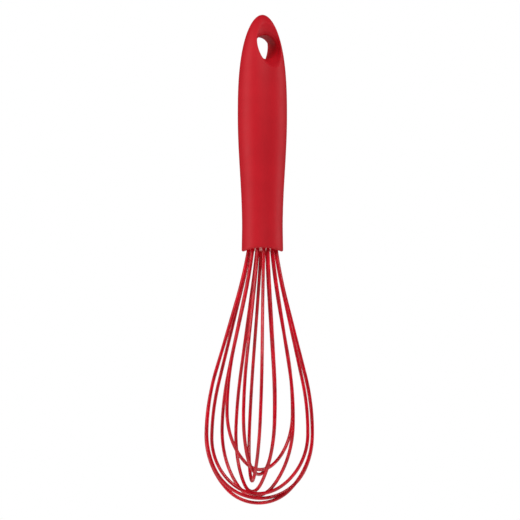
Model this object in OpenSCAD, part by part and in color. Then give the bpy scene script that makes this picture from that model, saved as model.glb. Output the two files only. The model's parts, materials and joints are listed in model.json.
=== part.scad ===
// Balloon whisk: a soft-grip handle with a hanging eye, and eight silicone-sleeved wire loops
// whose ends are potted in the handle. Millimetres, +Z up along the handle, hung by its eye.
// The origin is the middle of the hanging eye. The front of the whisk faces -Y.

/* [Handle] */
// Length from the handle's top to the face that the wires leave
handle_len = 145.5; // [140:0.5:152]
// Greatest radius of the grip
belly_r = 15.1; // [14.6:0.1:16]
// Depth of the greatest radius below the handle's top
belly_drop = 62; // [56:1:68]
// Radius of the grip's waist above the mouth
waist_r = 12.4; // [12.2:0.1:13.5]
// Depth of the waist below the handle's top
waist_drop = 133; // [124:1:136]
// How much the grip widens again from the waist to its mouth
mouth_flare = 0.2; // [0:0.1:0.6]
// Thickness of the soft grip over the rigid core
grip_wall = 2.1; // [1.6:0.1:2.3]

/* [Hanging eye] */
// Depth of the eye's axis below the handle's top
eye_drop = 20.9; // [19:0.1:24]
// Radius of the eye's straight bore
eye_r = 7.4; // [6:0.1:7.8]
// Length of the eye's straight bore
eye_len = 10.2; // [8:0.1:12]
// Turn of the eye's axis about the handle, from straight ahead
eye_turn = 29; // [0:1:45]
// How far the eye's flare widens from the bore to the grip's surface
eye_flare = 5.4; // [3:0.1:6]

/* [Mouth] */
// Radius of the saddle that arches the mouth's rim
saddle_r = 30; // [22:1:40]
// How much lower the wires' face sits than the saddle's crest
saddle_lift = 0.95; // [0.5:0.05:2.5]
// Slope of the saddle's crest, rising towards the back
saddle_tilt = 7; // [0:0.5:9]

/* [Wires] */
// Outer diameter of a silicone sleeve
sleeve_d = 2.1; // [1.8:0.05:2.15]
// Diameter of the spring wire inside a sleeve
wire_d = 1.1; // [0.8:0.1:1.2]
// Radius of the ring on which the strands leave the seat
ring_r = 8.4; // [8.2:0.1:8.6]
// Splay of a strand where it leaves the seat
splay = 9; // [9:0.25:10]
// Bend radius where a strand turns outwards below the seat
neck_r = 300; // [280:5:300]
// Bend radius of a strand's long upper bulge
bulge_r = 140; // [125:5:140]

/* [Seat] */
// Thickness of the wire seat
seat_t = 6.5; // [5:0.5:8]
// Radius of the wire seat
seat_r = 10.2; // [10:0.1:10.4]
// Depth of the socket that holds the cast resin
socket_len = 18; // [15:1:24]
// Radius of that socket
socket_r = 8.7; // [8.5:0.1:9]

/* [Hidden] */

// One row for each wire loop, from the deepest to the shallowest: the turn of its plane about
// the handle, its half width, the depth of its widest point below the seat, the depth of its
// lowest point, its bottom bend radius, how far its plane swings sideways, and how far it tips
// towards the back
LOOPS = [
    [3, 32, 112.5, 153.6, 26, 1, -0.3],
    [164, 33, 112.5, 150.9, 31.5, 0.8, -1.2],
    [44, 29.8, 107.5, 149.3, 21, 1.7, 1.5],
    [21, 30.9, 113.5, 148.2, 26.5, 0.9, -1.5],
    [66, 28.8, 106.5, 146.7, 19, 2.4, 1.3],
    [84, 31.4, 105, 140.4, 21.5, 2.5, 0.9],
    [109, 28.5, 101.5, 136.5, 26, 1.1, -0.6],
    [133, 28.9, 99, 133.5, 22, 0.8, 0.6]
];

// Facets of the big round shapes and of the wires
smooth = 96;
wire_smooth = 48;
bend_smooth = 360;

// How much thinner every second piece of a rod is, and how far it laps its neighbours
seam = 0.02;
lap = 0.3;

// Heights in the row's frame
top_z = eye_drop;
seat_z = top_z - handle_len;
seat_top_z = seat_z + seat_t;
skirt_len = 3;

// The nose is a superellipse from the top to the belly: one power across, one along
nose_power_r = 1.95;
nose_power_z = 2.55;
nose_steps = 20;
waist_steps = 16;

// The core starts below the eye, with a bevelled end
core_drop = 42;
core_bevel = 3;
core_steps = 16;

// The flare runs out past the grip's surface
eye_flare_len = 9;

// How far a sleeve and its wire run up into the handle, along the strand
sleeve_tail = 5;
wire_tail = 18.5;
hole_lead = 1;

// Radius of the grip at a depth below its top
function nose_radius(drop) =
    belly_r * pow(1 - pow(1 - drop / belly_drop, nose_power_z), 1 / nose_power_r);
function waist_radius(drop) =
    waist_r + (belly_r - waist_r) * (1 + cos(180 * (drop - belly_drop) / (waist_drop - belly_drop))) / 2;
function skirt_radius(drop) =
    waist_r + mouth_flare * (drop - waist_drop) / (handle_len - waist_drop);
function grip_radius(drop) =
    drop < belly_drop ? nose_radius(drop) : drop < waist_drop ? waist_radius(drop) : skirt_radius(drop);

// A point on the nose, at an angle from its tip to the belly
function nose_point(angle) =
    [belly_r * pow(sin(angle), 2 / nose_power_r),
     top_z - belly_drop * (1 - pow(cos(angle), 2 / nose_power_z))];

// A half loop is a tail, a neck bend, a straight run, a bulge, a side bend and half the bottom
// bend, each tangent to the next. Its own plane has x sideways and y up, from the seat's face.
// Every second piece is a hair thinner and runs a little way into its neighbours.
function unit(angle) = [cos(angle), sin(angle)];
function neck_centre() = [ring_r, 0] + neck_r * unit(splay);
function bulge_centre(loop) = [loop[1] - bulge_r, -loop[2]];
function run_angle(loop) =
    let (gap = neck_centre() - bulge_centre(loop))
    atan2(gap.y, gap.x) - acos((neck_r + bulge_r) / norm(gap));
function side_r(loop) =
    let (w = loop[1], rise = loop[3] - loop[2], r = loop[4])
    (w * w + pow(rise - r, 2) - r * r) / (2 * (w - r));
function bottom_angle(loop) = asin((side_r(loop) - loop[1]) / (side_r(loop) - loop[4]));

// A rod's wall is its outer and inner radius, with no inner radius in a solid rod
function thinner(wall) = [wall[0] - seam, wall[1] == 0 ? 0 : wall[1] + seam];

module section(wall) {
    difference() {
        circle(r = wall[0], $fn = wire_smooth);
        if (wall[1] > 0)
            circle(r = wall[1], $fn = wire_smooth);
    }
}

// A bend about a centre, from one angle to another
module bend(centre, radius, start, end, wall) {
    translate([centre.x, centre.y, 0])
        rotate([0, 0, start])
            rotate_extrude(angle = end - start, $fn = bend_smooth)
                translate([radius, 0])
                    section(wall);
}

// The same bend, thinner and lapped into its neighbours
module lapped_bend(centre, radius, start, end, wall) {
    turn = lap / radius * 180 / PI;
    bend(centre, radius, start - turn, end + turn, thinner(wall));
}

// A straight run between two points, lengthened at its start and its end
module straight(start, end, start_lap, end_lap, wall) {
    run = end - start;
    along = run / norm(run);
    from = start - start_lap * along;
    translate([from.x, from.y, 0])
        rotate([0, 0, atan2(run.y, run.x)])
            rotate([0, 90, 0])
                linear_extrude(norm(run) + start_lap + end_lap)
                    section(wall);
}

// The straight end of a strand, which runs up and inwards into the seat
module tail(length, lead, wall) {
    straight([ring_r, 0], [ring_r, 0] + length * [-sin(splay), cos(splay)], lead, 0, wall);
}

module half_loop(loop, tail_len, wall) {
    run = run_angle(loop);
    side = side_r(loop);
    run_start = neck_centre() - neck_r * unit(run);
    run_end = bulge_centre(loop) + bulge_r * unit(run);
    tail(tail_len, lap, thinner(wall));
    bend(neck_centre(), neck_r, 180 + splay, 180 + run, wall);
    straight(run_start, run_end, lap, lap, thinner(wall));
    bend(bulge_centre(loop), bulge_r, 0, run, wall);
    lapped_bend([loop[1] - side, -loop[2]], side, bottom_angle(loop) - 90, 0, wall);
}

// A whole loop: both halves and the bend that joins them at the bottom
module rod(loop, tail_len, wall) {
    turn = bottom_angle(loop);
    for (side = [0, 1])
        mirror([side, 0, 0])
            half_loop(loop, tail_len, wall);
    bend([0, loop[4] - loop[3]], loop[4], -90 - turn, -90 + turn, wall);
}

// Stands a loop's plane upright under the seat, turned, tipped and swung as its row says
module place(loop) {
    translate([0, 0, seat_z])
        rotate([loop[6], loop[5], 0])
            rotate([0, 0, -loop[0]])
                rotate([90, 0, 0])
                    children();
}

// The holes that all sixteen strand ends leave in the seat or in the resin
module strand_holes(length, radius) {
    for (loop = LOOPS)
        place(loop)
            for (side = [0, 1])
                mirror([side, 0, 0])
                    tail(length, hole_lead, [radius, 0]);
}

module grip_blank() {
    outline = concat(
        [for (i = [0:nose_steps]) nose_point(90 * i / nose_steps)],
        [for (i = [1:waist_steps])
            let (drop = belly_drop + (waist_drop - belly_drop) * i / waist_steps)
            [grip_radius(drop), top_z - drop]],
        [[grip_radius(handle_len + skirt_len), seat_z - skirt_len], [0, seat_z - skirt_len]]);
    rotate_extrude($fn = smooth)
        polygon(outline);
}

module core_blank() {
    first_drop = core_drop + core_bevel;
    last_drop = handle_len - seat_t;
    outline = concat(
        [[0, top_z - core_drop], [grip_radius(core_drop) - grip_wall - core_bevel, top_z - core_drop]],
        [for (i = [0:core_steps])
            let (drop = first_drop + (last_drop - first_drop) * i / core_steps)
            [grip_radius(drop) - grip_wall, top_z - drop]],
        [[0, seat_top_z]]);
    rotate_extrude($fn = smooth)
        polygon(outline);
}

module eye_cut() {
    rotate([0, 0, eye_turn])
        rotate([90, 0, 0]) {
            cylinder(h = 2 * belly_r, r = eye_r, center = true, $fn = smooth);
            for (side = [0, 1])
                mirror([0, 0, side])
                    translate([0, 0, eye_len / 2])
                        cylinder(h = eye_flare_len, r1 = eye_r, r2 = eye_r + eye_flare, $fn = smooth);
        }
}

// A level cylinder whose crest arches the rim and rises towards the back
module saddle_cut() {
    translate([0, 0, seat_z + saddle_lift - saddle_r / cos(saddle_tilt)])
        rotate([saddle_tilt - 90, 0, 0])
            cylinder(h = 4 * belly_r, r = saddle_r, center = true, $fn = smooth);
}

module grip() {
    color("firebrick")
        difference() {
            grip_blank();
            core_blank();
            translate([0, 0, seat_z - 2 * skirt_len])
                cylinder(h = seat_t + 2 * skirt_len, r = seat_r, $fn = smooth);
            eye_cut();
            saddle_cut();
        }
}

module handle_core() {
    color("dimgray")
        difference() {
            core_blank();
            translate([0, 0, seat_top_z - hole_lead])
                cylinder(h = socket_len + hole_lead, r = socket_r, $fn = smooth);
        }
}

module potting() {
    color("khaki")
        difference() {
            translate([0, 0, seat_top_z])
                cylinder(h = socket_len, r = socket_r, $fn = smooth);
            strand_holes(wire_tail, wire_d / 2);
        }
}

module wire_seat() {
    color("indianred")
        difference() {
            translate([0, 0, seat_z])
                cylinder(h = seat_t, r = seat_r, $fn = smooth);
            strand_holes(sleeve_tail, sleeve_d / 2);
            strand_holes(wire_tail, wire_d / 2);
        }
}

module wire(i) {
    color("silver")
        place(LOOPS[i - 1])
            rod(LOOPS[i - 1], wire_tail, [wire_d / 2, 0]);
}

module sleeve(i) {
    color("crimson")
        place(LOOPS[i - 1])
            rod(LOOPS[i - 1], sleeve_tail, [sleeve_d / 2, wire_d / 2]);
}

grip();
handle_core();
potting();
wire_seat();
for (i = [1:len(LOOPS)]) {
    wire(i);
    sleeve(i);
}
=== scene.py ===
"""Looks of a balloon whisk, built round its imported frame, in metres.

The grip and the eight sleeves are new surfaces that stand for their plain nodes. The seat, the
core, the cast resin and the spring wires keep their own meshes and get finishes. The whisk hangs
by its eye, front towards -Y, and the origin is the middle of the eye.
"""

import json
import logging
import math
from dataclasses import dataclass, field
from enum import Enum

import bmesh
import bpy
import numpy as np
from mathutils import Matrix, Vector


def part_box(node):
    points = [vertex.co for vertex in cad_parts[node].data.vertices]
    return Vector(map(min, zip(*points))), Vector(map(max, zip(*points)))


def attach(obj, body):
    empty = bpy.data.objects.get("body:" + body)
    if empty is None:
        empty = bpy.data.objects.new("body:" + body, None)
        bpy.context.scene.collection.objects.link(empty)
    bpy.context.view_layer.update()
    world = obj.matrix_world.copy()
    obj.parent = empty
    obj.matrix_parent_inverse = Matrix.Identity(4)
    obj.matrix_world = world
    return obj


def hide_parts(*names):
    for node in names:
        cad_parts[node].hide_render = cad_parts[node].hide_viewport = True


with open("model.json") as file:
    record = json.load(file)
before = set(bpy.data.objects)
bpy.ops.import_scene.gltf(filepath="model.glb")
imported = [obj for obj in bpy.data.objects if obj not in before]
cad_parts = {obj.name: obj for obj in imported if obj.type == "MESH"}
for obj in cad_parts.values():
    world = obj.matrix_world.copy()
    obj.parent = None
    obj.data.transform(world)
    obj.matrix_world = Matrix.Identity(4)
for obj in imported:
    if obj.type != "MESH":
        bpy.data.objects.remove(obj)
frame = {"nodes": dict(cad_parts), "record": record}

LOG = logging.getLogger("whisk")
MM = 0.001
BODY = "root"
WELD_GAP = 0.0005 * MM

# A colour mix node's sockets: the colour below, the colour above and the result
MIX_UNDER = 6
MIX_TOP = 7
MIX_RESULT = 2

Array = np.ndarray
Colour = tuple[float, float, float]
Socket = bpy.types.NodeSocket


class Slot(Enum):
    """The record's material slots."""

    GRIP = "soft_grip"
    CORE = "core_plastic"
    RESIN = "cast_resin"
    SEAT = "seat_plastic"
    WIRE = "spring_wire"
    SLEEVE = "silicone_sleeve"


class Coords(Enum):
    """What a pattern's coordinates come from."""

    OBJECT = "Object"
    ALONG = "UV"


# ---------------------------------------------------------------------------------------------
# Numbers to meshes


def unit(angle: float) -> Array:
    """The plane's unit vector at an angle in radians."""
    return np.array([math.cos(angle), math.sin(angle)])


def rotation(axis: int, angle: float) -> Array:
    """The matrix of a right-handed turn about one of the frame's axes.

    Args:
        axis: 0 for x, 1 for y and 2 for z.
        angle: The angle in radians.

    Returns:
        Three rows of three.
    """
    first, second = (axis + 1) % 3, (axis + 2) % 3
    matrix = np.eye(3)
    matrix[first, first] = matrix[second, second] = math.cos(angle)
    matrix[first, second] = -math.sin(angle)
    matrix[second, first] = math.sin(angle)
    return matrix


def grid_faces(rows: int, columns: int) -> Array:
    """Faces of a grid that closes on itself from its last column to its first.

    Args:
        rows: How many rows of points.
        columns: How many points in a row.

    Returns:
        One line of four point numbers for each face.
    """
    here = np.arange(columns)
    after = np.roll(here, -1)
    start = np.arange(rows - 1)[:, None] * columns
    quads = np.stack([start + here, start + after, start + columns + after, start + columns + here], -1)
    return quads.reshape(-1, 4)


def close_mesh(mesh: bpy.types.Mesh, weld: bool) -> None:
    """Turns a closed mesh's faces outwards and shades it smooth.

    Args:
        mesh: The mesh.
        weld: Whether points that meet become one, and faces without area go.
    """
    shell = bmesh.new()
    shell.from_mesh(mesh)
    if weld:
        bmesh.ops.remove_doubles(shell, verts=shell.verts, dist=WELD_GAP)
        bmesh.ops.dissolve_degenerate(shell, edges=shell.edges, dist=WELD_GAP)
    bmesh.ops.recalc_face_normals(shell, faces=shell.faces)
    shell.to_mesh(mesh)
    shell.free()
    mesh.polygons.foreach_set("use_smooth", np.ones(len(mesh.polygons), bool))
    mesh.update()


def mesh_from_grids(name: str, grids: list[Array]) -> bpy.types.Mesh:
    """One closed mesh from grids whose edges meet, with its faces turned outwards.

    Args:
        name: The mesh's name.
        grids: Arrays of rows, columns and x, y, z, each closed from its last column to its first.

    Returns:
        The welded, smooth mesh.
    """
    points = np.concatenate([g.reshape(-1, 3) for g in grids])
    starts = np.cumsum([0] + [g.shape[0] * g.shape[1] for g in grids[:-1]])
    faces = np.concatenate([grid_faces(*g.shape[:2]) + s for g, s in zip(grids, starts)])
    mesh = bpy.data.meshes.new(name)
    mesh.from_pydata(points.tolist(), [], faces.tolist())
    close_mesh(mesh, weld=True)
    return mesh


def add_piece(name: str, mesh: bpy.types.Mesh, node: str) -> bpy.types.Object:
    """Puts a mesh in the scene in place of a node.

    Args:
        name: The piece's name.
        mesh: Its mesh, in place.
        node: The node that it stands for.

    Returns:
        The piece, riding on the whisk's one body.
    """
    piece = bpy.data.objects.new(name, mesh)
    bpy.context.scene.collection.objects.link(piece)
    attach(piece, BODY)
    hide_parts(node)
    LOG.info("%s: %d points, %d faces, stands for %s", name, len(mesh.vertices), len(mesh.polygons), node)
    return piece


def dress(piece: bpy.types.Object, material: bpy.types.Material) -> None:
    """Gives a piece or a node one finish all over."""
    piece.data.materials.clear()
    piece.data.materials.append(material)


# ---------------------------------------------------------------------------------------------
# Finishes


class Shader:
    """A material's node tree, built a pattern at a time."""

    def __init__(self, name: str) -> None:
        """Starts a material with a plain shader."""
        self.material = bpy.data.materials.new(name)
        self.material.use_nodes = True
        self.nodes = self.material.node_tree.nodes
        self.links = self.material.node_tree.links
        self.surface = self.nodes["Principled BSDF"]

    def add(self, kind: str, **settings: object) -> bpy.types.Node:
        """Adds a node.

        Args:
            kind: The node's type.
            **settings: Its properties.

        Returns:
            The node.
        """
        node = self.nodes.new(kind)
        for key, value in settings.items():
            setattr(node, key, value)
        return node

    def set(self, **values: object) -> None:
        """Sets constants on the shader's own sockets, with _ for a space in a socket's name."""
        for key, value in values.items():
            self.surface.inputs[key.replace("_", " ")].default_value = value

    def coords(self, source: Coords, stretch: Colour = (1, 1, 1)) -> Socket:
        """Coordinates for a pattern, stretched along each axis.

        Args:
            source: Where they come from.
            stretch: A factor for each axis.

        Returns:
            The coordinates' socket.
        """
        base = self.add("ShaderNodeTexCoord")
        mapping = self.add("ShaderNodeMapping")
        mapping.inputs["Scale"].default_value = stretch
        self.links.new(base.outputs[source.value], mapping.inputs["Vector"])
        return mapping.outputs["Vector"]

    def reach(self, where: Socket, axis: Colour) -> Socket:
        """Distance from an axis through the origin: the length of the cross product of place and axis.

        Args:
            where: Coordinates in metres.
            axis: The axis's unit vector.

        Returns:
            The socket of the distance in metres.
        """
        product = self.add("ShaderNodeVectorMath", operation="CROSS_PRODUCT")
        self.links.new(where, product.inputs[0])
        product.inputs[1].default_value = axis
        length = self.add("ShaderNodeVectorMath", operation="LENGTH")
        self.links.new(product.outputs["Vector"], length.inputs[0])
        return length.outputs["Value"]

    def noise(self, where: Socket, scale: float, detail: float, rough: float) -> Socket:
        """Cloudy noise.

        Args:
            where: Coordinates in metres.
            scale: Features in a metre.
            detail: Octaves.
            rough: Strength of the finer octaves.

        Returns:
            The socket of its value, from 0 to 1.
        """
        node = self.add("ShaderNodeTexNoise")
        self.links.new(where, node.inputs["Vector"])
        node.inputs["Scale"].default_value = scale
        node.inputs["Detail"].default_value = detail
        node.inputs["Roughness"].default_value = rough
        return node.outputs["Fac"]

    def cells(self, where: Socket, scale: float) -> Socket:
        """Distance to the nearest of scattered points, for specks and bubbles.

        Args:
            where: Coordinates in metres.
            scale: Points along a metre.

        Returns:
            The distance's socket.
        """
        node = self.add("ShaderNodeTexVoronoi")
        self.links.new(where, node.inputs["Vector"])
        node.inputs["Scale"].default_value = scale
        return node.outputs["Distance"]

    def spread(self, value: Socket, low: float, high: float, start: float = 0.3,
               end: float = 0.7) -> Socket:
        """Spreads a pattern over a range of values.

        Args:
            value: The pattern.
            low: The result where the pattern is at start.
            high: The result where the pattern is at end.
            start: The pattern's low end.
            end: The pattern's high end.

        Returns:
            The socket of the result.
        """
        node = self.add("ShaderNodeMapRange")
        self.links.new(value, node.inputs["Value"])
        for key, number in zip(("From Min", "From Max", "To Min", "To Max"), (start, end, low, high)):
            node.inputs[key].default_value = number
        return node.outputs["Result"]

    def blend(self, value: Socket, stops: list[tuple[float, Colour]]) -> Socket:
        """Colours a pattern by stops.

        Args:
            value: The pattern.
            stops: Places from 0 to 1, each with its colour.

        Returns:
            The colour's socket.
        """
        node = self.add("ShaderNodeValToRGB")
        self.links.new(value, node.inputs["Fac"])
        ramp = node.color_ramp
        while len(ramp.elements) < len(stops):
            ramp.elements.new(0.5)
        for element, (place, colour) in zip(ramp.elements, stops):
            element.position = place
            element.color = (*colour, 1)
        return node.outputs["Color"]

    def over(self, share: Socket, under: Socket, top: Colour) -> Socket:
        """Lays a colour over another by a share.

        Args:
            share: How much of the top colour shows.
            under: The colour below.
            top: The colour above.

        Returns:
            The mixed colour's socket.
        """
        node = self.add("ShaderNodeMix", data_type="RGBA")
        self.links.new(share, node.inputs["Factor"])
        self.links.new(under, node.inputs[MIX_UNDER])
        node.inputs[MIX_TOP].default_value = (*top, 1)
        return node.outputs[MIX_RESULT]

    def bump(self, heights: list[tuple[Socket, float]]) -> None:
        """Stacks height patterns on the surface.

        Args:
            heights: Each pattern with its depth in metres.
        """
        under = None
        for value, depth in heights:
            node = self.add("ShaderNodeBump")
            node.inputs["Strength"].default_value = 1.0
            node.inputs["Distance"].default_value = depth
            self.links.new(value, node.inputs["Height"])
            if under is not None:
                self.links.new(under, node.inputs["Normal"])
            under = node.outputs["Normal"]
        self.links.new(under, self.surface.inputs["Normal"])

    def wire(self, value: Socket, socket: str) -> None:
        """Drives one of the shader's sockets."""
        self.links.new(value, self.surface.inputs[socket])


@dataclass(frozen=True)
class SoftTouch:
    """Matt soft-touch silicone: an even red, a painted shade darkening the bore, specks and a dry grain.
    """

    deep: Colour = (0.51, 0.004, 0.0125)
    red: Colour = (0.57, 0.005, 0.0145)
    dust: Colour = (0.60, 0.10, 0.10)
    # Painted shade: the darker red laid on the bore's wall in place of the shade inside the hole
    painted_bore_shade: Colour = (0.52, 0.001, 0.008)
    matt: float = 0.58
    worn: float = 0.50
    bore_edge: float = 7.42 * MM
    bore_fade: float = 1.0 * MM
    peel_depth: float = 0.012 * MM
    grain_depth: float = 0.008 * MM

    def material(self) -> bpy.types.Material:
        """Builds the finish.

        Returns:
            Its material.
        """
        skin = Shader("soft_touch_silicone")
        place = skin.coords(Coords.OBJECT)
        clouds = skin.noise(place, scale=55, detail=4, rough=0.55)
        specks = skin.spread(skin.cells(place, scale=620), low=0.22, high=0.0, start=0.02, end=0.09)
        colour = skin.over(specks, skin.blend(clouds, [(0.3, self.deep), (0.7, self.red)]), self.dust)
        # Painted shade: within bore_edge of the eye's axis the bore's wall takes a deeper red that stands
        # in for the shade inside the hole, fading back to the skin's colour over bore_fade
        reach = skin.reach(place, frame["record"]["mounts"][0]["axis"])
        faded = self.bore_edge + self.bore_fade
        inside = skin.spread(reach, low=1.0, high=0.0, start=self.bore_edge, end=faded)
        skin.wire(skin.over(inside, colour, self.painted_bore_shade), "Base Color")
        handling = skin.noise(place, scale=140, detail=5, rough=0.6)
        skin.wire(skin.spread(handling, low=self.worn, high=self.matt), "Roughness")
        grain = skin.noise(place, scale=5200, detail=2, rough=0.5)
        orange_peel = skin.noise(place, scale=900, detail=3, rough=0.5)
        skin.bump([(orange_peel, self.peel_depth), (grain, self.grain_depth)])
        skin.set(IOR=1.43, Specular_IOR_Level=0.30)
        return skin.material


@dataclass(frozen=True)
class SatinSilicone:
    """Extruded silicone tube: clear deep red, satin, with drawn lines along it and small waves."""

    deep: Colour = (0.44, 0.001, 0.009)
    red: Colour = (0.74, 0.002, 0.018)
    satin: float = 0.26
    polished: float = 0.16
    line_squeeze: float = 30
    wave_depth: float = 0.03 * MM
    line_depth: float = 0.01 * MM

    def material(self) -> bpy.types.Material:
        """Builds the finish.

        Returns:
            Its material.
        """
        tube = Shader("satin_silicone_tube")
        along = tube.coords(Coords.ALONG, stretch=(1, self.line_squeeze, 1))
        place = tube.coords(Coords.OBJECT)
        clouds = tube.noise(place, scale=120, detail=3, rough=0.5)
        tube.wire(tube.blend(clouds, [(0.3, self.deep), (0.7, self.red)]), "Base Color")
        lines = tube.noise(along, scale=90, detail=3, rough=0.6)
        tube.wire(tube.spread(lines, low=self.polished, high=self.satin), "Roughness")
        waves = tube.noise(place, scale=260, detail=2, rough=0.5)
        tube.bump([(waves, self.wave_depth), (lines, self.line_depth)])
        tube.set(IOR=1.43, Specular_IOR_Level=0.55)
        return tube.material


@dataclass(frozen=True)
class MouldedSeat:
    """Moulded satin silicone of the seat: paler than the sleeves, with flow marks."""

    deep: Colour = (0.66, 0.16, 0.16)
    pale: Colour = (0.95, 0.66, 0.62)
    flow_stretch: float = 0.3
    flow_depth: float = 0.03 * MM
    grain_depth: float = 0.01 * MM

    def material(self) -> bpy.types.Material:
        """Builds the finish.

        Returns:
            Its material.
        """
        seat = Shader("moulded_seat_silicone")
        place = seat.coords(Coords.OBJECT, stretch=(1, 1, self.flow_stretch))
        flow = seat.noise(place, scale=420, detail=5, rough=0.6)
        seat.wire(seat.blend(flow, [(0.25, self.deep), (0.7, self.pale)]), "Base Color")
        sheen = seat.noise(place, scale=900, detail=3, rough=0.5)
        seat.wire(seat.spread(sheen, low=0.22, high=0.38), "Roughness")
        grain = seat.noise(place, scale=3000, detail=2, rough=0.5)
        seat.bump([(flow, self.flow_depth), (grain, self.grain_depth)])
        return seat.material


@dataclass(frozen=True)
class DrawnSteel:
    """Drawn stainless spring wire, bright, with die marks and faint heat tint."""

    bright: Colour = (0.66, 0.66, 0.67)
    dull: Colour = (0.46, 0.45, 0.44)
    mark_stretch: float = 0.08
    mark_depth: float = 0.006 * MM

    def material(self) -> bpy.types.Material:
        """Builds the finish.

        Returns:
            Its material.
        """
        steel = Shader("drawn_spring_steel")
        place = steel.coords(Coords.OBJECT, stretch=(1, 1, self.mark_stretch))
        marks = steel.noise(place, scale=6000, detail=4, rough=0.7)
        tint = steel.noise(steel.coords(Coords.OBJECT), scale=160, detail=3, rough=0.5)
        steel.wire(steel.blend(tint, [(0.3, self.dull), (0.65, self.bright)]), "Base Color")
        steel.wire(steel.spread(marks, low=0.2, high=0.42), "Roughness")
        steel.bump([(marks, self.mark_depth)])
        steel.set(Metallic=1.0)
        return steel.material


@dataclass(frozen=True)
class MouldedNylon:
    """Glass-filled nylon of the core: dark grey, with a spark-eroded texture and pale fibres."""

    dark: Colour = (0.035, 0.036, 0.04)
    light: Colour = (0.075, 0.077, 0.085)
    fibre: Colour = (0.2, 0.2, 0.2)
    fibre_stretch: float = 0.2
    spark_depth: float = 0.02 * MM

    def material(self) -> bpy.types.Material:
        """Builds the finish.

        Returns:
            Its material.
        """
        nylon = Shader("moulded_core_nylon")
        place = nylon.coords(Coords.OBJECT)
        clouds = nylon.noise(place, scale=90, detail=4, rough=0.55)
        flow = nylon.coords(Coords.OBJECT, stretch=(1, 1, self.fibre_stretch))
        fibres = nylon.spread(nylon.cells(flow, scale=1500), low=0.5, high=0.0, start=0.05, end=0.15)
        base = nylon.blend(clouds, [(0.3, self.dark), (0.7, self.light)])
        nylon.wire(nylon.over(fibres, base, self.fibre), "Base Color")
        eroded = nylon.noise(place, scale=2600, detail=3, rough=0.6)
        nylon.wire(nylon.spread(eroded, low=0.45, high=0.65), "Roughness")
        nylon.bump([(eroded, self.spark_depth)])
        return nylon.material


@dataclass(frozen=True)
class CastResin:
    """Cast amber resin with clouding and small bubbles."""

    amber: Colour = (0.50, 0.33, 0.12)
    pale: Colour = (0.72, 0.56, 0.30)
    bubble: Colour = (0.9, 0.82, 0.62)
    bubble_depth: float = 0.03 * MM

    def material(self) -> bpy.types.Material:
        """Builds the finish.

        Returns:
            Its material.
        """
        resin = Shader("cast_amber_resin")
        place = resin.coords(Coords.OBJECT)
        clouds = resin.noise(place, scale=210, detail=4, rough=0.55)
        bubbles = resin.spread(resin.cells(place, scale=700), low=0.8, high=0.0, start=0.1, end=0.16)
        base = resin.blend(clouds, [(0.3, self.amber), (0.7, self.pale)])
        resin.wire(resin.over(bubbles, base, self.bubble), "Base Color")
        resin.wire(resin.spread(clouds, low=0.08, high=0.2), "Roughness")
        resin.bump([(bubbles, self.bubble_depth)])
        return resin.material


@dataclass(frozen=True)
class PalePaper:
    """Matt white paper of the floor, with a hint of tooth and a soft glow."""

    white: Colour = (0.94, 0.94, 0.94)
    shade: Colour = (0.91, 0.91, 0.91)
    glow: float = 0.42

    def material(self) -> bpy.types.Material:
        """Builds the finish.

        Returns:
            Its material.
        """
        paper = Shader("pale_paper")
        place = paper.coords(Coords.OBJECT)
        tooth = paper.noise(place, scale=40, detail=4, rough=0.6)
        paper.wire(paper.blend(tooth, [(0.3, self.shade), (0.7, self.white)]), "Base Color")
        paper.set(Roughness=0.9, Emission_Color=(1, 1, 1, 1), Emission_Strength=self.glow)
        return paper.material


# ---------------------------------------------------------------------------------------------
# The handle


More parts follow.
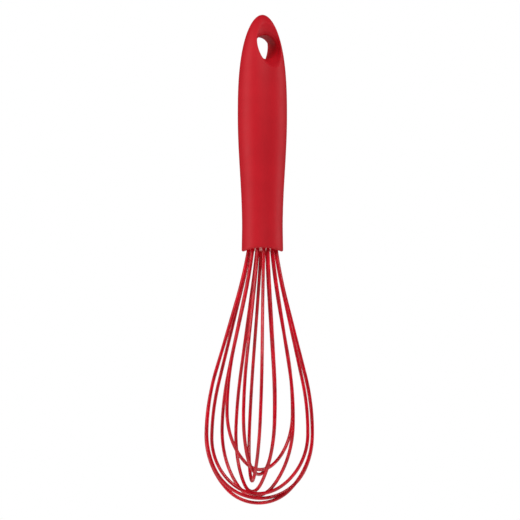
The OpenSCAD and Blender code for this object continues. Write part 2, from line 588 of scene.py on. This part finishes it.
@dataclass
class Grip:
    """The soft grip: a superelliptic nose, a cosine waist, a flared eye and a saddle mouth."""

    belly_radius: float = 15.1 * MM
    belly_drop: float = 62 * MM
    waist_radius: float = 12.4 * MM
    waist_drop: float = 133 * MM
    length: float = 145.5 * MM
    mouth_flare: float = 0.2 * MM
    power_across: float = 1.95
    power_along: float = 2.55
    wall: float = 2.1 * MM

    # The flare of the eye ends in an ellipse on the grip's surface
    eye_half_width: float = 8.45 * MM
    eye_half_height: float = 15.4 * MM
    eye_softness: float = 0.2
    crease: float = 1.8 * MM

    # The mouth's rim lies on a level cylinder that rises towards the back
    saddle_radius: float = 30 * MM
    saddle_lift: float = 0.95 * MM
    saddle_tilt: float = math.radians(7)
    rim_round: float = 1.5 * MM
    rim_ease: float = 0.7 * MM

    # The room inside for the core and the seat
    core_drop: float = 42 * MM
    core_bevel: float = 3 * MM

    # Fineness: points round the handle, over the nose, and in rows
    round_points: int = 192
    over_points: int = 168
    join_drop: float = 46 * MM
    bisections: int = 44
    skin_count: int = 27
    flare_count: int = 25
    rounding_count: int = 7
    bore_count: int = 5
    wall_count: int = 81
    corner_count: int = 9
    room_count: int = 40

    # The skin's rows gather a little towards the edge, and one lies close by the lip
    skin_gather: float = 1.1
    lip_guard: float = 0.985

    # How much of the way from the bore's edge to the lip the flare runs straight
    eye_firmness: float = 0.34

    # A search on the surface starts this many belly radii out, and the skin is taken to end
    # this many lengths down
    search_reach: float = 4.0
    skin_end: float = 1.1

    def __post_init__(self) -> None:
        """Reads the handle's heights, the seat and the eye's bore from the frame."""
        self.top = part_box("grip")[1].z
        seat_low, seat_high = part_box("wire_seat")
        self.seat_z, self.seat_top, self.seat_radius = seat_low.z, seat_high.z, seat_high.x
        eye = frame["record"]["mounts"][0]
        self.bore_radius = eye["dims"]["r_mm"] * MM
        self.bore_half = eye["dims"]["length_mm"] * MM / 2
        ahead = np.array(eye["axis"], float)
        self.eye_axes = np.stack([np.cross([0, 0, 1], ahead), ahead, [0, 0, 1]])
        self.join = self.top - self.join_drop

    def radius(self, height: Array) -> Array:
        """The grip's radius at a height.

        The nose is belly * (1 - (1 - drop / belly drop) ^ along) ^ (1 / across), the waist a half
        cosine from the belly to the waist, and the rest a straight flare.

        Args:
            height: Heights in the frame.

        Returns:
            A radius for each height.
        """
        drop = np.clip(self.top - height, 0, self.length * self.skin_end)
        left = 1 - np.clip(drop / self.belly_drop, 0, 1)
        nose = self.belly_radius * (1 - left**self.power_along) ** (1 / self.power_across)
        share = np.clip((drop - self.belly_drop) / (self.waist_drop - self.belly_drop), 0, 1)
        swell = self.belly_radius - self.waist_radius
        waist = self.waist_radius + swell * (1 + np.cos(np.pi * share)) / 2
        below = np.clip((drop - self.waist_drop) / (self.length - self.waist_drop), 0, None)
        skirt = self.mouth_flare * below
        return np.where(drop < self.belly_drop, nose, waist + skirt)

    def on_surface(self, toward: Array) -> Array:
        """Where rays from the middle of the eye meet the grip, found by halving.

        Args:
            toward: Directions in the eye's axes: sideways, ahead, up.

        Returns:
            The points, in the eye's axes.
        """
        toward = toward / np.linalg.norm(toward, axis=-1, keepdims=True)
        flat = np.hypot(toward[..., 0], toward[..., 1])
        low = np.zeros_like(flat)
        high = np.full_like(flat, self.search_reach * self.belly_radius)
        for _ in range(self.bisections):
            middle = (low + high) / 2
            height = middle * toward[..., 2]
            outside = (middle * flat > self.radius(height)) | (height > self.top)
            high = np.where(outside, middle, high)
            low = np.where(outside, low, middle)
        return toward * ((low + high) / 2)[..., None]

    def head(self) -> Array:
        """The nose round the eye, as one grid from the handle below the eye through the bore.

        A column starts on the nose's side outline or on the ring below the eye, runs over the
        surface to the flare's ellipse, down the flare's curve to the bore's edge, through the
        bore, and back up the other side.

        Returns:
            Rows, columns and x, y, z.
        """
        ring = float(self.radius(np.array(self.join)))
        corner = math.atan2(self.join, ring)
        over = np.linspace(corner, math.pi - corner, self.over_points + 1)[:-1]
        outline = self.on_surface(np.stack([np.cos(over), np.zeros_like(over), np.sin(over)], -1))
        turn = np.linspace(math.pi, 0, self.round_points // 2 + 1)[:-1]
        circle = np.stack([ring * np.cos(turn), ring * np.sin(turn), np.full_like(turn, self.join)], -1)
        edge = np.concatenate([outline, circle])
        angle = np.arctan2(edge[:, 2] / self.eye_half_height, edge[:, 0] / self.eye_half_width)
        side, up = self.eye_half_width * np.cos(angle), self.eye_half_height * np.sin(angle)
        lip = np.stack([side, np.sqrt(self.radius(up) ** 2 - side**2), up], -1)
        skin = self.skin_rows(lip, edge)
        inward = skin[-1] - skin[-2]
        inward = inward / np.linalg.norm(inward, axis=-1, keepdims=True)
        half = np.concatenate([skin, self.flare_rows(lip, inward, angle)])
        whole = np.concatenate([half, (half * [1, -1, 1])[::-1][1:]])
        return whole @ self.eye_axes

    def skin_rows(self, lip: Array, edge: Array) -> Array:
        """Rows over the surface, from the outer edge in to the flare's lip.

        A point's ray is (1 - share) * the edge's direction + share * the lip's direction.

        Args:
            lip: The lip's points.
            edge: The outer edge's points.

        Returns:
            Rows of points, the edge first and the lip last.
        """
        shares = np.linspace(0, 1, self.skin_count)[:, None, None] ** self.skin_gather
        shares[-2] = self.lip_guard
        toward_edge = edge / np.linalg.norm(edge, axis=-1, keepdims=True)
        toward_lip = lip / np.linalg.norm(lip, axis=-1, keepdims=True)
        rows = self.on_surface(toward_edge * (1 - shares) + toward_lip * shares)
        rows[0], rows[-1] = edge, lip
        return rows

    def flare_rows(self, lip: Array, inward: Array, angle: Array) -> Array:
        """Rows down the flare and into the bore.

        The flare is a cubic curve that leaves the skin along its own slope and comes straight to
        the bore's edge. A small rounding, a quadratic curve, leads it into the bore.

        Args:
            lip: The lip's points.
            inward: The skin's direction at the lip, towards the eye.
            angle: The columns' angles about the eye.

        Returns:
            Rows of points, without the lip, down to the bore's middle.
        """
        round_eye = np.stack([np.cos(angle), np.zeros_like(angle), np.sin(angle)], -1) * self.bore_radius
        ahead = np.array([0.0, 1.0, 0.0])
        mouth = round_eye + ahead * self.bore_half
        reach = np.linalg.norm(lip - mouth, axis=-1, keepdims=True)
        soft = lip + inward * reach * self.eye_softness
        firm = mouth + (lip - mouth) * self.eye_firmness
        t = np.linspace(0, 1, self.flare_count)[1:-1][:, None, None]
        curve = (1 - t) ** 3 * lip + 3 * (1 - t) ** 2 * t * soft + 3 * (1 - t) * t**2 * firm + t**3 * mouth
        keep = np.minimum(1.0, np.linalg.norm(curve - mouth, axis=-1, keepdims=True) / self.crease)
        start = mouth + (firm - mouth) / np.linalg.norm(firm - mouth, axis=-1, keepdims=True) * self.crease
        curve = np.where(keep < 1, start, curve)
        end = mouth - ahead * self.crease
        s = np.linspace(0, 1, self.rounding_count)[:, None, None]
        rounding = (1 - s) ** 2 * start + 2 * (1 - s) * s * mouth + s**2 * end
        depth = np.linspace(self.bore_half - self.crease, 0, self.bore_count)[1:][:, None, None]
        bore = round_eye + ahead * depth
        return np.concatenate([curve, rounding, bore])

    def rim_height(self, x: Array, y: Array) -> Array:
        """Height of the saddle over a point: a level cylinder's top, tilted up towards the back.

        It is seat + lift + y tan tilt - (radius - root of (radius^2 - x^2)) / cos tilt.

        Args:
            x: Sideways places.
            y: Places towards the back.

        Returns:
            A height for each place.
        """
        sag = self.saddle_radius - np.sqrt(self.saddle_radius**2 - x**2)
        level = self.seat_z + self.saddle_lift
        return level + np.tan(self.saddle_tilt) * y - sag / np.cos(self.saddle_tilt)

    def skirt(self) -> Array:
        """The rest of the shell: outer wall, rounded rim, inner wall, and the core's room.

        Rounded corners are quarter circles. The rim follows the saddle's height.

        Returns:
            Rows, columns and x, y, z, ending in the pole at the top of the core's room.
        """
        turn = np.linspace(0, 2 * np.pi, self.round_points, endpoint=False)
        side, ahead = self.eye_axes[0, :2], self.eye_axes[1, :2]
        outward = np.cos(turn)[:, None] * side + np.sin(turn)[:, None] * ahead
        outer = float(self.radius(np.array(self.seat_z)))
        bend, ease = self.rim_round, self.rim_ease

        def row(radius: Array | float, height: Array | float) -> Array:
            """One ring of points about the handle's axis.

            Args:
                radius: The ring's radius.
                height: The points' heights.

            Returns:
                A line of x, y, z for each point.
            """
            ring = np.broadcast_to(np.asarray(radius, float), turn.shape)
            level = np.broadcast_to(np.asarray(height, float), turn.shape)
            return np.concatenate([outward * ring[:, None], level[:, None]], -1)

        def rim_row(radius: float, lift: float) -> Array:
            """One ring of points over the saddle.

            Args:
                radius: The ring's radius.
                lift: How far above the saddle it is.

            Returns:
                A line of x, y, z for each point.
            """
            flat = outward * radius
            return row(radius, self.rim_height(flat[:, 0], flat[:, 1]) + lift)

        rim_top = rim_row(outer, bend)[:, 2]
        rows = []
        for share in np.linspace(0, 1, self.wall_count)[:-1]:
            height = self.join + share * (rim_top - self.join)
            rows.append(row(self.radius(height), height))
        for a in np.linspace(0, np.pi / 2, self.corner_count):
            rows.append(rim_row(outer - bend * (1 - np.cos(a)), bend * (1 - np.sin(a))))
        for a in np.linspace(0, np.pi / 2, self.corner_count):
            rows.append(rim_row(self.seat_radius + ease * (1 - np.sin(a)), ease * (1 - np.cos(a))))
        ledge = float(self.radius(np.array(self.seat_top))) - self.wall
        rows += [row(self.seat_radius, self.seat_top), row(ledge, self.seat_top)]
        core_low, core_high = self.seat_top, self.top - self.core_drop - self.core_bevel
        for height in np.linspace(core_low, core_high, self.room_count)[1:]:
            rows.append(row(self.radius(np.array(height)) - self.wall, height))
        roof = self.top - self.core_drop
        flat_radius = float(self.radius(np.array(roof))) - self.wall - self.core_bevel
        rows += [row(flat_radius, roof), row(flat_radius / 2, roof), row(0.0, roof)]
        return np.stack(rows)

    def build(self) -> bpy.types.Object:
        """Builds the grip and dresses it.

        Returns:
            The grip.
        """
        mesh = mesh_from_grids("grip_shell", [self.head(), self.skirt()])
        piece = add_piece("grip_shell", mesh, "grip")
        dress(piece, SoftTouch().material())
        return piece


# ---------------------------------------------------------------------------------------------
# The wires


@dataclass
class Loop:
    """One wire loop, by the sizes of its curve in its own plane, in millimetres and degrees."""

    turn: float
    half_width: float
    widest: float
    deepest: float
    bottom_bend: float
    swing: float
    tip: float


@dataclass
class Sleeves:
    """The eight silicone sleeves: a round tube carried along each loop's curve."""

    # Turn, half width, widest, deepest, bottom bend, swing and tip
    loops: list[Loop] = field(default_factory=lambda: [
        Loop(3, 32, 112.5, 153.6, 26, 1, -0.3),
        Loop(164, 33, 112.5, 150.9, 31.5, 0.8, -1.2),
        Loop(44, 29.8, 107.5, 149.3, 21, 1.7, 1.5),
        Loop(21, 30.9, 113.5, 148.2, 26.5, 0.9, -1.5),
        Loop(66, 28.8, 106.5, 146.7, 19, 2.4, 1.3),
        Loop(84, 31.4, 105, 140.4, 21.5, 2.5, 0.9),
        Loop(109, 28.5, 101.5, 136.5, 26, 1.1, -0.6),
        Loop(133, 28.9, 99, 133.5, 22, 0.8, 0.6),
    ])
    outer_radius: float = 1.035 * MM
    inner_radius: float = 0.55 * MM
    ring_radius: float = 8.4 * MM
    splay: float = math.radians(9)
    neck_bend: float = 300 * MM
    bulge_bend: float = 140 * MM
    tail: float = 5 * MM
    step: float = 0.8 * MM
    line_least: int = 2
    arc_least: int = 4
    sides: int = 28

    def __post_init__(self) -> None:
        """Reads the height of the seat's face from the frame."""
        self.seat_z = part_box("wire_seat")[0].z

    def line(self, start: Array, end: Array) -> Array:
        """Points and directions along a straight run: start + share * (end - start).

        Args:
            start: Its first point.
            end: Its last point.

        Returns:
            Rows of x, y and the direction's x, y.
        """
        count = max(self.line_least, round(np.linalg.norm(end - start) / self.step))
        share = np.linspace(0, 1, count, endpoint=False)[:, None]
        along = (end - start) / np.linalg.norm(end - start)
        return np.concatenate([start + share * (end - start), np.broadcast_to(along, (count, 2))], -1)

    def arc(self, centre: Array, radius: float, start: float, end: float) -> Array:
        """Points and directions along a bend: centre + radius * (cos a, sin a).

        The direction is (-sin a, cos a), or the other way where the angle falls.

        Args:
            centre: Its centre.
            radius: Its radius.
            start: Its first angle.
            end: Its last angle.

        Returns:
            Rows of x, y and the direction's x, y.
        """
        count = max(self.arc_least, round(radius * abs(end - start) / self.step))
        angle = np.linspace(start, end, count, endpoint=False)[:, None]
        outward = np.concatenate([np.cos(angle), np.sin(angle)], -1)
        along = np.concatenate([-np.sin(angle), np.cos(angle)], -1) * math.copysign(1, end - start)
        return np.concatenate([centre + radius * outward, along], -1)

    def half_curve(self, loop: Loop) -> Array:
        """Half a loop, from its end in the seat to its lowest point.

        It is a tail, a neck bend, a straight run, a bulge, a side bend and half the bottom bend,
        each tangent to the next. x is sideways, y is up from the seat's face. The straight run
        leans by the angle of the line between the neck's and the bulge's centres, less the arc
        cosine of the two radii's sum over that line's length. The side bend's radius is
        (width^2 + (rise - bottom)^2 - bottom^2) / (2 * (width - bottom)), which makes it upright
        at the widest place and tangent to the bottom bend.

        Args:
            loop: The loop's sizes.

        Returns:
            Rows of x, y and the direction's x, y.
        """
        width, widest, deepest = loop.half_width * MM, loop.widest * MM, loop.deepest * MM
        bottom = loop.bottom_bend * MM
        mouth = np.array([self.ring_radius, 0])
        neck = mouth + self.neck_bend * unit(self.splay)
        bulge = np.array([width - self.bulge_bend, -widest])
        gap = neck - bulge
        reach = self.neck_bend + self.bulge_bend
        lean = math.atan2(gap[1], gap[0]) - math.acos(reach / np.linalg.norm(gap))
        rise = deepest - widest
        side = (width**2 + (rise - bottom) ** 2 - bottom**2) / (2 * (width - bottom))
        corner = math.asin((side - width) / (side - bottom))
        up = np.array([-math.sin(self.splay), math.cos(self.splay)])
        return np.concatenate([
            self.line(mouth + self.tail * up, mouth),
            self.arc(neck, self.neck_bend, math.pi + self.splay, math.pi + lean),
            self.line(neck - self.neck_bend * unit(lean), bulge + self.bulge_bend * unit(lean)),
            self.arc(bulge, self.bulge_bend, lean, 0),
            self.arc(np.array([width - side, -widest]), side, 0, corner - math.pi / 2),
            self.arc(np.array([0, bottom - deepest]), bottom, corner - math.pi / 2, -math.pi / 2),
        ])

    def curve(self, loop: Loop) -> Array:
        """A whole loop: the half curve, its lowest point, and the half mirrored back up.

        Args:
            loop: The loop's sizes.

        Returns:
            Rows of x, y and the direction's x, y.
        """
        half = self.half_curve(loop)
        lowest = np.array([[0, -loop.deepest * MM, -1, 0]])
        back = half[::-1] * [-1, 1, 1, -1]
        return np.concatenate([half, lowest, back])

    def placing(self, loop: Loop) -> Array:
        """The matrix that stands a loop's plane upright, turned, tipped and swung.

        Args:
            loop: The loop's sizes.

        Returns:
            Three rows of three, which carry x, y and the plane's normal to the frame.
        """
        upright = np.array([[1, 0, 0], [0, 0, -1], [0, 1, 0]])
        turned = rotation(2, math.radians(-loop.turn))
        tipped = rotation(0, math.radians(loop.tip))
        swung = rotation(1, math.radians(loop.swing))
        return swung @ tipped @ turned @ upright

    def tube(self, loop: Loop) -> tuple[Array, Array]:
        """The sleeve's wall: out along the outside and back along the inside.

        A ring is centre + r * (cos a * n + sin a * p), with n the curve's normal in its plane
        and p the plane's own normal.

        Args:
            loop: The loop's sizes.

        Returns:
            The grid of points, and each row's distance along the curve in metres.
        """
        flat = self.curve(loop)
        matrix = self.placing(loop)
        level = np.zeros(len(flat))
        centre = np.stack([flat[:, 0], flat[:, 1], level], -1) @ matrix.T + [0, 0, self.seat_z]
        normal = np.stack([-flat[:, 3], flat[:, 2], level], -1) @ matrix.T
        angle = np.linspace(0, 2 * np.pi, self.sides, endpoint=False)[None, :, None]
        spoke = np.cos(angle) * normal[:, None, :] + np.sin(angle) * matrix[:, 2]
        outside = centre[:, None, :] + self.outer_radius * spoke
        inside = centre[:, None, :] + self.inner_radius * spoke
        grid = np.concatenate([outside, inside[::-1], outside[:1]])
        steps = np.linalg.norm(np.diff(centre, axis=0), axis=-1)
        along = np.concatenate([[0], np.cumsum(steps)])
        along = np.concatenate([along, along[::-1], along[:1]])
        return grid, along

    def build(self) -> list[bpy.types.Object]:
        """Builds the eight sleeves and dresses them.

        Returns:
            The sleeves.
        """
        finish = SatinSilicone().material()
        pieces = []
        for number, loop in enumerate(self.loops, 1):
            grid, along = self.tube(loop)
            mesh = self.mesh(f"silicone_sleeve_{number}", grid, along)
            piece = add_piece(mesh.name, mesh, f"sleeve_{number}")
            dress(piece, finish)
            pieces.append(piece)
        return pieces

    def mesh(self, name: str, grid: Array, along: Array) -> bpy.types.Mesh:
        """The tube's mesh, with a map of metres along it and metres round it.

        Args:
            name: The mesh's name.
            grid: The tube's points, whose last row is its first.
            along: Each row's distance along the curve.

        Returns:
            The mesh.
        """
        rows, columns = grid.shape[:2]
        faces = grid_faces(rows, columns)
        ring = (rows - 1) * columns
        mesh = bpy.data.meshes.new(name)
        mesh.from_pydata(grid[:-1].reshape(-1, 3).tolist(), [], (faces % ring).tolist())
        face_row = np.arange(rows - 1).repeat(columns)
        face_column = np.tile(np.arange(columns), rows - 1)
        pitch = 2 * np.pi * self.outer_radius / columns
        near, far = along[face_row], along[face_row + 1]
        left, right = face_column * pitch, (face_column + 1) * pitch
        uv = np.stack([near, left, near, right, far, right, far, left], -1)
        layer = mesh.uv_layers.new(name="along_and_round")
        layer.data.foreach_set("uv", uv.astype(np.float32).ravel())
        close_mesh(mesh, weld=False)
        return mesh


# ---------------------------------------------------------------------------------------------
# The carried-over nodes


@dataclass
class Inner:
    """The nodes that keep their own meshes: the seat, the core, the resin and the wires."""

    wires: int = 8

    def build(self) -> None:
        """Dresses each node."""
        steel = DrawnSteel().material()
        finishes = {
            "wire_seat": MouldedSeat().material(),
            "handle_core": MouldedNylon().material(),
            "potting": CastResin().material(),
            **{f"wire_{number}": steel for number in range(1, self.wires + 1)},
        }
        for name, material in finishes.items():
            dress(frame["nodes"][name], material)
            LOG.info("%s: dressed in %s", name, material.name)


# ---------------------------------------------------------------------------------------------
# The studio


@dataclass
class SoftBox:
    """A rectangular soft light, placed round the whisk by its bearing and height."""

    name: str
    bearing: float
    climb: float
    distance: float
    width: float
    height: float
    power: float

    def build(self, aim: Vector) -> None:
        """Adds the light.

        Args:
            aim: The point it faces.
        """
        lamp = bpy.data.lights.new(self.name, "AREA")
        lamp.shape = "RECTANGLE"
        lamp.size, lamp.size_y, lamp.energy = self.width, self.height, self.power
        holder = bpy.data.objects.new(self.name, lamp)
        bpy.context.scene.collection.objects.link(holder)
        around, up = math.radians(self.bearing), math.radians(self.climb)
        offset = Vector((math.sin(around) * math.cos(up), -math.cos(around) * math.cos(up), math.sin(up)))
        holder.location = aim + offset * self.distance
        holder.rotation_mode = "QUATERNION"
        holder.rotation_quaternion = (-offset).to_track_quat("-Z", "Y")
        holder.visible_camera = False


@dataclass
class Studio:
    """A pale floor, soft boxes, and a camera a little below the whisk's middle, looking up."""

    aim: tuple[float, float, float] = (-1.46 * MM, 0.8 * MM, -131.0 * MM)
    camera_distance: float = 1.6
    camera_climb: float = math.radians(-7.5)
    field_width: float = 316 * MM
    sensor: float = 36.0
    floor_drop: float = 1.0
    floor_size: float = 16.0
    surround: float = 0.05

    # Name, bearing, climb, distance, width, height and power
    boxes: list[SoftBox] = field(default_factory=lambda: [
        SoftBox("left_box", -78, 12, 1.5, 0.6, 1.6, 12),
        SoftBox("front_box", 6, 46, 1.7, 1.3, 0.9, 20),
        SoftBox("right_box", 98, 14, 1.5, 0.5, 1.5, 8),
    ])

    def build(self) -> None:
        """Adds the camera, the lights, the surround and the floor."""
        aim = Vector(self.aim)
        self.camera(aim)
        for box in self.boxes:
            box.build(aim)
        self.surroundings()
        self.floor()
        bpy.context.scene.view_settings.view_transform = "Standard"
        LOG.info("studio: camera, %d soft boxes, surround and floor", len(self.boxes))

    def camera(self, aim: Vector) -> None:
        """Adds the scene's camera.

        Args:
            aim: The point in the middle of its view.
        """
        lens = bpy.data.cameras.new("camera")
        lens.sensor_width = self.sensor
        lens.lens = self.sensor * self.camera_distance / self.field_width
        holder = bpy.data.objects.new("camera", lens)
        bpy.context.scene.collection.objects.link(holder)
        back = Vector((0, -math.cos(self.camera_climb), math.sin(self.camera_climb)))
        holder.location = aim + back * self.camera_distance
        holder.rotation_mode = "QUATERNION"
        holder.rotation_quaternion = (-back).to_track_quat("-Z", "Y")
        bpy.context.scene.camera = holder

    def surroundings(self) -> None:
        """A white backdrop all round, which lights the whisk less than it shows."""
        world = bpy.data.worlds.new("studio")
        world.use_nodes = True
        nodes, links = world.node_tree.nodes, world.node_tree.links
        nodes.clear()
        shown, light = nodes.new("ShaderNodeBackground"), nodes.new("ShaderNodeBackground")
        shown.inputs["Color"].default_value = (1, 1, 1, 1)
        light.inputs["Color"].default_value = (1, 1, 1, 1)
        light.inputs["Strength"].default_value = self.surround
        path, mix = nodes.new("ShaderNodeLightPath"), nodes.new("ShaderNodeMixShader")
        links.new(path.outputs["Is Camera Ray"], mix.inputs["Fac"])
        links.new(light.outputs["Background"], mix.inputs[1])
        links.new(shown.outputs["Background"], mix.inputs[2])
        links.new(mix.outputs["Shader"], nodes.new("ShaderNodeOutputWorld").inputs["Surface"])
        bpy.context.scene.world = world

    def floor(self) -> None:
        """A plain pale floor well below the hanging whisk."""
        half = self.floor_size / 2
        flat = [(-half, -half), (half, -half), (half, half), (-half, half)]
        mesh = bpy.data.meshes.new("floor")
        mesh.from_pydata([(x, y, -self.floor_drop) for x, y in flat], [], [(0, 1, 2, 3)])
        ground = bpy.data.objects.new("floor", mesh)
        bpy.context.scene.collection.objects.link(ground)
        dress(ground, PalePaper().material())


def main() -> None:
    """Builds the whisk's looks round its frame."""
    logging.basicConfig(level=logging.INFO, format="%(message)s")
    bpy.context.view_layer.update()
    Grip().build()
    Sleeves().build()
    Inner().build()
    Studio().build()


if __name__ == "__main__":
    main()
